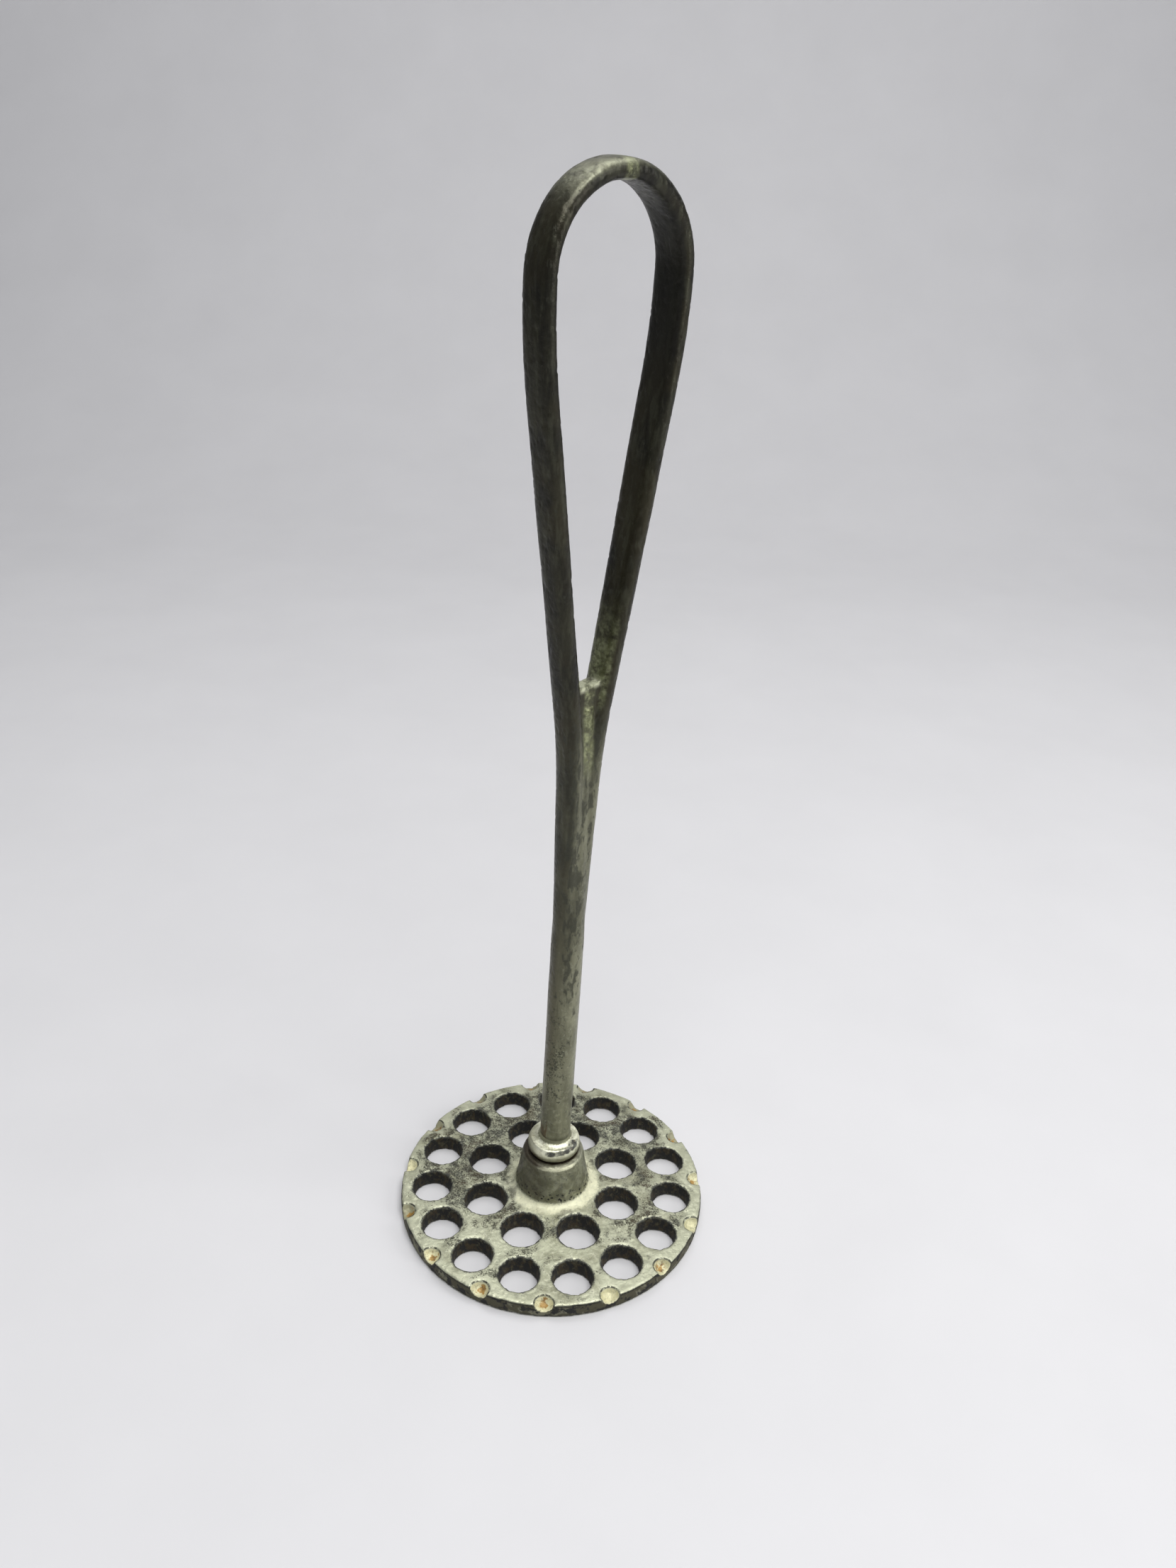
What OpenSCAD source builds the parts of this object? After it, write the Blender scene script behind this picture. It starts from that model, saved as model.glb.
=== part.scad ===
// Cast-iron potato ricer of the plunger kind: a perforated disc with a tapered hub,
// a domed collar and a loop handle whose tenon is peened over under the disc.
// The origin is the centre of the disc's underside, and +Z runs up the handle.

/* [Disc] */
// Diameter of the disc
disc_d = 89; // [84:1:100]
// Thickness of the disc at its rim
disc_t = 4.5; // [3.5:0.5:7]
// How far the disc's top face swells from the rim to the hub
disc_swell = 1.2; // [0.4:0.2:1.4]
// Radius of the disc's rounded edges
disc_edge_r = 0.6; // [0.2:0.1:1]

/* [Holes] */
// Number of holes in the outer ring
outer_count = 15; // [8:1:15]
// Diameter of the outer holes at the disc's top, inside the bevel
outer_hole_d = 11.3; // [6:0.1:11.4]
// Radius of the circle that the outer holes stand on
outer_ring_r = 35.4; // [34.6:0.1:35.6]
// Angle of the first outer hole
outer_first = 16.9; // [0:0.1:24]
// Number of holes in the inner ring
inner_count = 8; // [4:1:8]
// Diameter of the inner holes at the disc's top, inside the bevel
inner_hole_d = 12; // [6:0.1:12.2]
// Radius of the circle that the inner holes stand on
inner_ring_r = 20.7; // [20.6:0.1:21.6]
// Angle of the first inner hole
inner_first = 22.4; // [0:0.1:45]
// How much narrower each hole's radius is at the disc's underside than at its top
hole_draft = 0.5; // [0.1:0.1:1]
// Width of the worn bevel at each hole's mouth
hole_bevel = 0.3; // [0.3:0.1:0.6]

/* [Rim notches] */
// Radius of each round-bottomed notch at the disc's top face
notch_r = 2.6; // [1.6:0.1:2.8]
// Depth of each notch
notch_depth = 2.3; // [0.8:0.1:2.6]
// How far the notch centres stand in from the rim
notch_inset = 0.9; // [0.6:0.1:1.5]

/* [Hub] */
// Radius of the hub where its fillet starts
hub_foot_r = 10.6; // [10:0.1:12]
// Radius of the hub at its top
hub_top_r = 8.9; // [8:0.1:9.5]
// Height of the hub's top above the disc's underside
hub_h = 18.7; // [14:0.1:24]
// Radius of the fillet at the hub's foot
hub_fillet_r = 2.2; // [1:0.1:3]
// Radius of the hub's rounded top edge
hub_edge_r = 1.2; // [0.3:0.1:1.5]

/* [Collar] */
// Radius of the collar at its widest
collar_r = 7.6; // [7.2:0.05:8.2]
// Radius of the collar's flat underside
collar_base_r = 5.9; // [5.6:0.1:7]
// Height of the collar's widest place above its underside
collar_waist_h = 2.2; // [1:0.1:3]
// Height of the collar's dome
collar_h = 4.8; // [4:0.1:7]
// Radius of the fillet where the dome runs up the shank
collar_fillet_r = 2; // [0.5:0.1:2.2]

/* [Shank] */
// Radius of the round shank
shank_r = 4.4; // [4:0.1:5]
// Radius of the tenon inside the collar and the hub
tenon_r = 3.7; // [3:0.1:3.8]
// Radius of the tenon's peened head
peen_r = 5.6; // [4.6:0.1:6.4]
// Height of the peened head
peen_h = 2.2; // [1.5:0.1:3]
// How far the bore and the handle stand off the disc's centre, towards +X
handle_shift = 0.35; // [0:0.05:0.6]
// How far the handle leans towards +X, in degrees
handle_lean = 1.1; // [0:0.1:2]

/* [Loop] */
// Height of the crotch between the loop's legs
crotch_z = 161.5; // [150:0.5:180]
// Height of the top of the loop
loop_top_z = 280; // [270:1:300]
// Half the loop's greatest width, between the middles of its bar
loop_half_w = 19.7; // [17:0.1:22]
// Half the distance between the middles of the two legs at the crotch
crotch_half_w = 5.3; // [4.8:0.1:6]
// Angle that the loop's plane is turned from the X axis
loop_turn = 45; // [0:1:90]
// Half thickness of the bar where the two legs meet
bar_low_a = 3.1; // [2.8:0.1:3.4]
// Half thickness of the flattened bar at the top of the loop
bar_top_a = 2.2; // [1.8:0.1:2.6]
// Half width of the bar where the two legs meet
bar_low_b = 3.2; // [2.8:0.1:3.6]
// Half width of the flattened bar at the top of the loop
bar_top_b = 4.5; // [3.6:0.1:4.8]
// How much stouter the bar is on one leg than its mean, as a share
leg_bias = 0.08; // [0:0.01:0.12]
// Height of the metal that fills the crotch, above the crotch itself
crotch_fill_h = 5; // [1:0.5:6]

/* [Hidden] */
$fn = 96;
past = 1;                                   // how far a cutter runs past a face
disc_r = disc_d / 2;
collar_z = hub_h;
seat_depth = 1.5;                           // the shank's seat in the top of the collar
seat_z = collar_z + collar_h - seat_depth;  // the handle leans from here
seat_r = shank_r + 0.1;
dome_top_r = seat_r + collar_fillet_r + 0.1;
peen_gap = 0.2;                             // the peened head stays clear of the table
fillet_z = disc_t + disc_swell;
notch_ball_r = (pow(notch_r, 2) + pow(notch_depth, 2)) / (2 * notch_depth);

// The loop's centre line, from the shank up one leg to the top
merge_z = 88;                               // below this the legs are lost in the shank
bend_low_z = 137;                           // where the legs start to part
merge_half_w = 1.05;
merge_slope = 0.03;
taper_z = merge_z + 4;                      // the shank's round core thins from here up
arch_r = 20;
arch_z = loop_top_z - bar_top_a - arch_r;   // centre of the arch
swell_h = 23;                               // height over which a leg turns upright
leg_slope = (loop_half_w - crotch_half_w) / (arch_z - crotch_z - swell_h / 2);
bend_h = crotch_z - bend_low_z;
bend_half_w = crotch_half_w - (leg_slope + merge_slope) * bend_h / 2;
ring_sides = 24;
arch_steps = 12;
arch_bar_z = 225;                           // above this the bar has its top section

// Half the distance between the legs at height z
function leg_half_w(z) =
    z > arch_z - swell_h ? loop_half_w - leg_slope * pow(arch_z - z, 2) / (2 * swell_h)
    : z > crotch_z ? crotch_half_w + leg_slope * (z - crotch_z)
    : z > bend_low_z ? bend_half_w + merge_slope * (z - bend_low_z)
        + (leg_slope - merge_slope) * pow(z - bend_low_z, 2) / (2 * bend_h)
    : merge_half_w + (bend_half_w - merge_half_w) * (z - merge_z) / (bend_low_z - merge_z);

function steps(low, high, count) = [for (i = [0 : count - 1]) low + (high - low) * i / count];

leg_heights = concat(
    steps(merge_z, bend_low_z, 3),
    steps(bend_low_z, crotch_z, 6),
    steps(crotch_z, arch_z - swell_h, 6),
    steps(arch_z - swell_h, arch_z, 4)
);
right_leg = [for (z = leg_heights) [leg_half_w(z), z]];
right_arch = [for (i = [0 : arch_steps])
    [loop_half_w * cos(90 * i / arch_steps), arch_z + arch_r * sin(90 * i / arch_steps)]];
right_half = concat(right_leg, right_arch);
left_half = [for (i = [len(right_half) - 2 : -1 : 0]) [-right_half[i][0], right_half[i][1]]];
centre_line = concat(right_half, left_half);

// The bar is round low down, and a flattened oval at the top
function flatness(z) = max(0, min(1, (z - merge_z) / (arch_bar_z - merge_z)));
function blend(low, high, k) = low + (high - low) * k;
function rounded(v, power) = sign(v) * pow(abs(v), power);

function bar_ring(i) =
    let (
        last = len(centre_line) - 1,
        here = centre_line[i],
        along = centre_line[min(i + 1, last)] - centre_line[max(i - 1, 0)],
        across = [along[1], -along[0]] / norm(along),
        k = flatness(here[1]),
        stout = 1 + leg_bias * here[0] / loop_half_w,
        a = stout * blend(bar_low_a, bar_top_a, k),
        b = stout * blend(bar_low_b, bar_top_b, k),
        power = blend(1, 0.7, k)
    )
    [for (s = [0 : ring_sides - 1])
        let (
            angle = 360 * s / ring_sides,
            out = a * rounded(cos(angle), power)
        )
        [here[0] + out * across[0], b * rounded(sin(angle), power), here[1] + out * across[1]]];

module swept_bar() {
    rings = len(centre_line);
    points = [for (i = [0 : rings - 1]) each bar_ring(i)];
    walls = [for (i = [0 : rings - 2]) for (s = [0 : ring_sides - 1])
        let (t = (s + 1) % ring_sides, low = i * ring_sides, high = low + ring_sides)
        each [[low + s, high + s, high + t], [low + s, high + t, low + t]]];
    first_cap = [for (s = [0 : ring_sides - 1]) s];
    last_cap = [for (s = [ring_sides - 1 : -1 : 0]) (rings - 1) * ring_sides + s];
    polyhedron(points, concat(walls, [first_cap, last_cap]));
}

module on_ring(count, radius, first) {
    for (i = [0 : count - 1])
        rotate([0, 0, first + 360 * i / count]) translate([radius, 0, 0]) children();
}

// A through hole that narrows downwards, with a worn bevel at each mouth
module hole(diameter, top_z) {
    function bore_d(z) = diameter - 2 * hole_draft * (1 - z / top_z);
    top_mouth_d = diameter + 2 * hole_bevel;
    low_mouth_d = bore_d(0) + 2 * hole_bevel;
    translate([0, 0, -past])
        cylinder(d1 = bore_d(-past), d2 = bore_d(top_z + past), h = top_z + 2 * past);
    translate([0, 0, top_z - past])
        cylinder(d1 = top_mouth_d - 2 * past, d2 = top_mouth_d + 2 * past, h = 2 * past);
    translate([0, 0, -past])
        cylinder(d1 = low_mouth_d + 2 * past, d2 = low_mouth_d - 2 * past, h = 2 * past);
}

function quarter(centre, radius, from, to, count) =
    [for (i = [0 : count]) let (angle = from + (to - from) * i / count)
        centre + radius * [cos(angle), sin(angle)]];

// Height of the disc's swelling top face at a radius
function top_z(r) = disc_t + disc_swell * (disc_r - r) / (disc_r - hub_foot_r - hub_fillet_r);

disc_profile = concat(
    [[0, 0]],
    quarter([disc_r - disc_edge_r, disc_edge_r], disc_edge_r, -90, 0, 4),
    quarter([disc_r - disc_edge_r, disc_t - disc_edge_r], disc_edge_r, 0, 88, 4),
    quarter([hub_foot_r + hub_fillet_r, fillet_z + hub_fillet_r], hub_fillet_r, 270, 186, 8),
    quarter([hub_top_r - hub_edge_r, hub_h - hub_edge_r], hub_edge_r, 4, 90, 5),
    [[0, hub_h]]
);

module masher_plate() {
    color("darkkhaki")
    difference() {
        rotate_extrude() polygon(disc_profile);
        on_ring(outer_count, outer_ring_r, outer_first) hole(outer_hole_d, top_z(outer_ring_r));
        on_ring(inner_count, inner_ring_r, inner_first) hole(inner_hole_d, top_z(inner_ring_r));
        on_ring(outer_count, disc_r - notch_inset, outer_first + 180 / outer_count)
            translate([0, 0, disc_t - notch_depth + notch_ball_r]) sphere(r = notch_ball_r);
        translate([handle_shift, 0, -past]) cylinder(r = tenon_r, h = hub_h + 2 * past);
        translate([handle_shift, 0, -past])
            cylinder(r1 = peen_r + past * (peen_r - tenon_r) / peen_h, r2 = tenon_r,
                h = peen_h + past);
    }
}

collar_profile = concat(
    [[tenon_r, 0], [collar_base_r, 0]],
    [for (angle = [-75 : 15 : 0])
        [collar_base_r + (collar_r - collar_base_r) * cos(angle),
         collar_waist_h * (1 + sin(angle))]],
    [for (angle = [10 : 10 : 80])
        [dome_top_r + (collar_r - dome_top_r) * cos(angle),
         collar_waist_h + (collar_h - collar_waist_h) * sin(angle)]],
    quarter([dome_top_r, collar_h + collar_fillet_r], collar_fillet_r, 270, 180, 6),
    [[seat_r, collar_h + collar_fillet_r],
     [seat_r, collar_h - seat_depth],
     [tenon_r, collar_h - seat_depth]]
);

module collar() {
    color("lightyellow")
    translate([handle_shift, 0, collar_z]) rotate_extrude() polygon(collar_profile);
}

module handle() {
    color("dimgray")
    translate([handle_shift, 0, 0]) {
        translate([0, 0, peen_gap])
            cylinder(r1 = peen_r - peen_gap, r2 = tenon_r, h = peen_h - peen_gap);
        translate([0, 0, peen_gap]) cylinder(r = tenon_r, h = seat_z - peen_gap);
        translate([0, 0, seat_z]) rotate([0, handle_lean, 0])
            translate([0, 0, -seat_z]) {
                translate([0, 0, seat_z]) cylinder(r = shank_r, h = taper_z - seat_z);
                translate([0, 0, taper_z])
                    cylinder(r1 = shank_r, r2 = bar_low_b - 0.3,
                        h = crotch_z + crotch_fill_h - taper_z);
                rotate([0, 0, loop_turn]) swept_bar();
            }
    }
}

masher_plate();
collar();
handle();
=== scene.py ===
"""A plunger-type potato ricer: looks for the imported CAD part.

The disc is remeshed from the CAD solid and weathered; the collar and the handle are made here
from the CAD's own dimensions. Lengths in the design values are in millimetres.
"""
import math
import random

import bmesh
import bpy
import numpy as np
from mathutils import Matrix, Vector, noise


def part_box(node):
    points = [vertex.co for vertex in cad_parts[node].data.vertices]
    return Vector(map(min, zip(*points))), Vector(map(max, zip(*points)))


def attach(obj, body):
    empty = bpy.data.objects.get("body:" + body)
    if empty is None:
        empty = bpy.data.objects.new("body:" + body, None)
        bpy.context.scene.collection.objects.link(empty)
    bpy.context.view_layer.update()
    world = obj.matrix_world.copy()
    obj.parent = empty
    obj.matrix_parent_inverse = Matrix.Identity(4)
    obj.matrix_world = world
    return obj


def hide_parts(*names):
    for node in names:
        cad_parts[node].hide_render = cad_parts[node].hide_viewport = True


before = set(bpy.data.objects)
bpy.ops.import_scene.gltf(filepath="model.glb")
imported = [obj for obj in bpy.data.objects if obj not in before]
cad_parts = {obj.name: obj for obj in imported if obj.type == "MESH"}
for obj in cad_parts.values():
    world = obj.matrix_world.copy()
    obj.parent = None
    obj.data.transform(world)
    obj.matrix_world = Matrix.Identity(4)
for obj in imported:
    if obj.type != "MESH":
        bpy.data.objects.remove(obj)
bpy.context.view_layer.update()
MM = 0.001
FLOOR_GAP = 0.1 * MM  # keeps the floor from flickering through the disc's underside

# The disc and its hub, as in the CAD
DISC_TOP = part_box("masher_plate")[1]
DISC_R = DISC_TOP.x / MM
DISC_T = 4.5
HUB_H = DISC_TOP.z / MM
HUB_FOOT_R = 10.6
FILLET_Z = 5.7
OUTER_RING = {"count": 15, "radius": 35.4, "first": 16.9, "hole_r": 5.65}
INNER_RING = {"count": 8, "radius": 20.7, "first": 22.4, "hole_r": 6.0}
HOLE_DRAFT = 0.5
HOLE_TOP_Z = 5.2
NOTCH_R = 2.6
NOTCH_DEPTH = 2.3
NOTCH_INSET = 0.9
NOTCH_BALL_R = (NOTCH_R ** 2 + NOTCH_DEPTH ** 2) / (2 * NOTCH_DEPTH)
CLEAN_NOTCHES = (6, 11, 13)  # without rust
# Painted shade: these notches, most of them at the back and left, are painted dull.
DULL_NOTCHES = (0, 1, 2, 3, 4, 5, 7)

# The collar
COLLAR_LOW, COLLAR_HIGH = (corner.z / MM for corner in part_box("collar"))
COLLAR_FILLET_R = 2.0
COLLAR_H = COLLAR_HIGH - COLLAR_LOW - COLLAR_FILLET_R
COLLAR_R = (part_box("collar")[1].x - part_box("collar")[0].x) / MM / 2
COLLAR_BASE_R = 5.9
COLLAR_WAIST_H = 2.2
SEAT_DEPTH = 1.5
COLLAR_NECK_R = 4.3
COLLAR_LOPSIDE = 0.25

# The handle
HANDLE_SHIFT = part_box("collar")[1].x / MM - COLLAR_R
SHANK_R = 4.4
SEAT_R = SHANK_R + 0.1
TENON_R = 3.7
PEEN_R, PEEN_H, PEEN_GAP = 5.4, 2.2, 0.2  # the peened head's low radius, its top and its low face
SEAT_Z = COLLAR_LOW + COLLAR_H - SEAT_DEPTH
DOME_TOP_R = SEAT_R + COLLAR_FILLET_R + 0.1
LEAN = math.radians(1.1)
LOOP_TURN = math.radians(45)
CROTCH_Z = 161.5
FILL_TOP_Z = CROTCH_Z + 5
WEB_SLANT = 0.08
LOOP_TOP_Z = 280.0
LOOP_HALF_W = 19.7
CROTCH_HALF_W = 5.3
ARCH_R = 20.0
MERGE_Z, MERGE_HALF_W, MERGE_SLOPE = 88.0, 1.05, 0.03
TAPER_Z = MERGE_Z + 4
BEND_LOW_Z = 137.0
SWELL_H = 23.0
BAR_LOW = (3.1, 3.2)
BAR_TOP = (2.2, 4.5)
FLAT_Z = 225.0
LEG_BIAS = 0.08
ARCH_Z = LOOP_TOP_Z - BAR_TOP[0] - ARCH_R
LEG_SLOPE = (LOOP_HALF_W - CROTCH_HALF_W) / (ARCH_Z - CROTCH_Z - SWELL_H / 2)
BEND_H = CROTCH_Z - BEND_LOW_Z
BEND_HALF_W = CROTCH_HALF_W - (LEG_SLOPE + MERGE_SLOPE) * BEND_H / 2

# Which way the marks face, round Z: the painted reflection on the collar, the painted highlight on the
# hub's shoulder, and the stains and pits on the shank
SMEAR_ANGLE = math.radians(-60)
SHOULDER_ANGLE = math.radians(-80)
STAIN_ANGLE = math.radians(-72)
PITTED_ANGLE = math.radians(-112)

# The remeshed skins' cells
DISC_VOXEL = 0.43
HANDLE_VOXEL = 0.42


# ---------------------------------------------------------------- helpers

def smooth(low, high, values):
    """0 below low, 1 above high and a smooth ramp between."""
    k = np.clip((values - low) / (high - low), 0, 1)
    return k * k * (3 - 2 * k)


def coords(mesh, what="co"):
    """Vertex positions in millimetres, or vertex normals, as an array."""
    flat = np.empty(len(mesh.vertices) * 3)
    if what == "co":
        mesh.vertices.foreach_get("co", flat)
        return flat.reshape(-1, 3) / MM
    mesh.vertex_normals.foreach_get("vector", flat)
    return flat.reshape(-1, 3)


def set_coords(mesh, points):
    mesh.vertices.foreach_set("co", (points * MM).ravel())
    mesh.update()


def cloud(points, size, seed, octaves=3):
    """Soft 3-D noise between about -1 and 1, with lumps of the given size."""
    shift = Vector((seed * 17.3, seed * -9.1, seed * 5.7))
    return np.array([
        noise.fractal(Vector(p) / size + shift, 1.0, 2.0, octaves, noise_basis="PERLIN_ORIGINAL")
        for p in points
    ])


def paint(mesh, **layers):
    """Stores each array as a number on every vertex, for the materials to read."""
    for name, values in layers.items():
        layer = mesh.attributes.new(name, "FLOAT", "POINT")
        layer.data.foreach_set("value", np.ascontiguousarray(values, dtype=np.float32))


def new_piece(name, mesh, slot, *nodes):
    """An object on the one rigid body, standing for CAD nodes."""
    piece = bpy.data.objects.new(name, mesh)
    bpy.context.scene.collection.objects.link(piece)
    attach(piece, "root")
    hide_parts(*nodes)
    return piece


def mesh_of(name, points, faces):
    mesh = bpy.data.meshes.new(name)
    mesh.from_pydata([tuple(p * MM for p in point) for point in points], [], faces)
    mesh.update()
    return mesh


def cleaned(mesh):
    """Joins loose corners, so that the surface is closed."""
    work = bmesh.new()
    work.from_mesh(mesh)
    bmesh.ops.remove_doubles(work, verts=work.verts, dist=1e-6)
    bmesh.ops.recalc_face_normals(work, faces=work.faces)
    work.to_mesh(mesh)
    work.free()
    return mesh


def remeshed(mesh, voxel, rounds, factor=0.5):
    """One even skin over everything in the mesh, with its edges softened."""
    scratch = bpy.data.objects.new("scratch", mesh)
    bpy.context.scene.collection.objects.link(scratch)
    skin = scratch.modifiers.new("skin", "REMESH")
    skin.mode = "VOXEL"
    skin.voxel_size = voxel * MM
    soften = scratch.modifiers.new("soften", "SMOOTH")
    soften.factor = factor
    soften.iterations = rounds
    seen = scratch.evaluated_get(bpy.context.evaluated_depsgraph_get())
    result = bpy.data.meshes.new_from_object(seen)
    bpy.data.objects.remove(scratch)
    if "material_index" in result.attributes:
        result.attributes.remove(result.attributes["material_index"])
    result.materials.clear()
    result.shade_smooth()
    return result


def lathe(profile, sides, closed=False):
    """Points and faces of an outline turned round Z; an end on the axis closes itself."""
    points, faces = [], []
    for radius, z in profile:
        for s in range(sides):
            angle = 2 * math.pi * s / sides
            points.append((radius * math.cos(angle), radius * math.sin(angle), z))
    rows = len(profile)
    for row in range(rows if closed else rows - 1):
        low, high = row * sides, (row + 1) % rows * sides
        for s in range(sides):
            t = (s + 1) % sides
            faces.append((low + s, low + t, high + t, high + s))
    if not closed:
        faces.append(tuple(reversed(range(sides))))
        faces.append(tuple(range((rows - 1) * sides, rows * sides)))
    return points, faces


# ---------------------------------------------------------------- materials

# The Mix node's sockets for each kind: factor, first, second and result
MIX_SOCKETS = {"RGBA": (0, 6, 7, 2), "FLOAT": (0, 2, 3, 0)}


class Nodes:
    """A short way to write a material's node tree. Sizes are in millimetres."""

    def __init__(self, name):
        self.material = bpy.data.materials.new(name)
        self.material.use_nodes = True
        self.tree = self.material.node_tree
        self.shader = self.tree.nodes["Principled BSDF"]
        self.place = self.tree.nodes.new("ShaderNodeTexCoord").outputs["Object"]

    def link(self, source, target):
        if isinstance(source, (int, float)):
            target.default_value = source
        elif isinstance(source, tuple):
            target.default_value = (*source, 1.0)
        else:
            self.tree.links.new(source, target)

    def attribute(self, name):
        node = self.tree.nodes.new("ShaderNodeAttribute")
        node.attribute_name = name
        return node.outputs["Fac"]

    def stretched(self, x, y, z):
        node = self.tree.nodes.new("ShaderNodeMapping")
        self.link(self.place, node.inputs["Vector"])
        node.inputs["Scale"].default_value = (x, y, z)
        return node.outputs["Vector"]

    def noise(self, size_mm, detail=4.0, rough=0.55, warp=0.0, place=None):
        node = self.tree.nodes.new("ShaderNodeTexNoise")
        self.link(place or self.place, node.inputs["Vector"])
        node.inputs["Scale"].default_value = 1 / (size_mm * MM)
        node.inputs["Detail"].default_value = detail
        node.inputs["Roughness"].default_value = rough
        node.inputs["Distortion"].default_value = warp
        return node.outputs["Fac"]

    def cells(self, size_mm, place=None):
        node = self.tree.nodes.new("ShaderNodeTexVoronoi")
        self.link(place or self.place, node.inputs["Vector"])
        node.inputs["Scale"].default_value = 1 / (size_mm * MM)
        return node.outputs["Distance"]

    def ramp(self, value, low, high, out_low=0.0, out_high=1.0):
        node = self.tree.nodes.new("ShaderNodeMapRange")
        node.interpolation_type = "SMOOTHSTEP"
        self.link(value, node.inputs["Value"])
        for key, number in zip(("From Min", "From Max", "To Min", "To Max"),
                               (low, high, out_low, out_high)):
            node.inputs[key].default_value = number
        return node.outputs["Result"]

    def math(self, how, a, b=0.0):
        node = self.tree.nodes.new("ShaderNodeMath")
        node.operation = how
        node.use_clamp = how in ("MULTIPLY", "ADD", "SUBTRACT")
        self.link(a, node.inputs[0])
        self.link(b, node.inputs[1])
        return node.outputs[0]

    def mix(self, share, a, b, kind="RGBA"):
        """A colour between a and b."""
        node = self.tree.nodes.new("ShaderNodeMix")
        node.data_type = kind
        factor, first, second, result = MIX_SOCKETS[kind]
        for value, socket in ((share, factor), (a, first), (b, second)):
            self.link(value, node.inputs[socket])
        return node.outputs[result]

    def blend(self, share, a, b):
        """A number between a and b."""
        return self.mix(share, a, b, "FLOAT")

    def finish(self, color, metal, rough, height, depth_mm):
        self.link(color, self.shader.inputs["Base Color"])
        self.link(metal, self.shader.inputs["Metallic"])
        self.link(rough, self.shader.inputs["Roughness"])
        bump = self.tree.nodes.new("ShaderNodeBump")
        bump.inputs["Distance"].default_value = depth_mm * MM
        bump.inputs["Strength"].default_value = 1.0
        self.link(height, bump.inputs["Height"])
        self.link(bump.outputs["Normal"], self.shader.inputs["Normal"])
        return self.material


def srgb(red, green, blue):
    """A colour given as 0 to 255 screen values."""
    def channel(v):
        v /= 255
        return v / 12.92 if v <= 0.04045 else ((v + 0.055) / 1.055) ** 2.4
    return tuple(channel(v) for v in (red, green, blue))


TIN = srgb(197, 199, 172)
TIN_PALE = srgb(240, 240, 214)
TIN_CREAM = srgb(232, 231, 198)
TIN_DULL = srgb(138, 137, 112)
TIN_GREY = srgb(150, 151, 128)
IRON_BLACK = srgb(28, 28, 25)
IRON_BROWN = srgb(68, 54, 36)
IRON_GREY = srgb(82, 83, 78)
IRON_OLIVE = srgb(76, 73, 54)
RUST = srgb(164, 124, 52)
RUST_DARK = srgb(100, 64, 24)
NOTCH_PALE = srgb(236, 231, 188)
HUB_PALE = srgb(158, 159, 135)
HUB_DARK = srgb(118, 118, 95)
SPECK_BLACK = srgb(52, 52, 43)
WALL_BROWN = srgb(60, 50, 30)
RIM_TIN = srgb(116, 115, 95)
COLLAR_BRIGHT = srgb(246, 246, 220)
COLLAR_GREY = srgb(204, 204, 176)
COLLAR_BROWN = srgb(128, 112, 78)
COLLAR_DULL = srgb(132, 132, 106)
# Colours of the painted reflection on the collar
SMEAR_DARK = srgb(48, 49, 51)
SMEAR_PALE = srgb(104, 105, 97)
BAR_PALE = srgb(142, 142, 118)
BAR_DULL = srgb(108, 108, 88)
# Colour of the painted shade on the shank's left
BAR_DIM = srgb(74, 70, 50)
BAR_RUST = srgb(88, 64, 36)
LOOP_BLACK = srgb(25, 24, 18)
LOOP_DARK = srgb(47, 46, 34)
LOOP_BROWN = srgb(56, 51, 34)
LOOP_STREAK = srgb(76, 77, 62)
BLOTCH_DARK = srgb(40, 42, 35)
BLOTCH_OLIVE = srgb(62, 62, 46)
WEB_DULL = srgb(112, 115, 82)
WEB_PALE = srgb(150, 154, 118)
FLOOR_PALE = srgb(222, 221, 222)
FLOOR_GREY = srgb(214, 213, 214)


def tin_coat(n, coarse, cream, grimy):
    """Stained tin, duller on the hub, cream at its foot (with a painted highlight) and washed darker with
    dirt and with painted shade.
    """
    stain = n.ramp(n.noise(11, 4, 0.55, 0.4), 0.46, 0.68, 0.0, 0.6)
    tin = n.mix(stain, TIN, TIN_DULL)
    tin = n.mix(n.ramp(coarse, 0.45, 0.75, 0.0, 0.5), tin, TIN_PALE)
    dull = n.mix(n.ramp(n.noise(3.2, 5, 0.6, 0.4), 0.38, 0.6), HUB_PALE, HUB_DARK)
    dull = n.mix(n.ramp(coarse, 0.52, 0.68, 0.0, 0.6), dull, IRON_GREY)
    tin = n.mix(n.math("MULTIPLY", n.attribute("hub"), 0.92), tin, dull)
    tin = n.mix(n.math("MULTIPLY", cream, n.ramp(coarse, 0.35, 0.6, 0.6, 1.0)), tin, TIN_CREAM)
    # The wash darkens dirty patches and, as painted shade, the disc's back and left.
    wash = n.math("MULTIPLY", grimy, n.ramp(n.noise(2.6, 5, 0.65, 0.3), 0.38, 0.62, 0.0, 0.7))
    return n.mix(wash, tin, n.mix(n.ramp(n.noise(7, 2), 0.4, 0.6), IRON_OLIVE, IRON_GREY))


def fine_specks(n, fine, coarse, cream, grimy):
    """How speckled the surface is: in clusters, most in the dirty and painted-shade areas and least on the
    cream.
    """
    level = n.math("ADD", n.math("MULTIPLY", grimy, 0.13), n.blend(0.3, fine, coarse))
    specks = n.ramp(level, 0.58, 0.69, 0.0, 0.9)
    return n.math("MULTIPLY", specks, n.ramp(cream, 0.0, 1.0, 1.0, 0.45))


def round_pits(n, fine):
    """Small dark pits low on the hub."""
    away = n.math("ADD", n.cells(1.15), n.ramp(fine, 0.3, 0.7, -0.15, 0.15))
    dots = n.math("MULTIPLY", n.ramp(away, 0.3, 0.4, 1.0, 0.0), n.ramp(n.noise(2.7, 2), 0.38, 0.44))
    return n.math("MULTIPLY", dots, n.attribute("pitted"))


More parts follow.
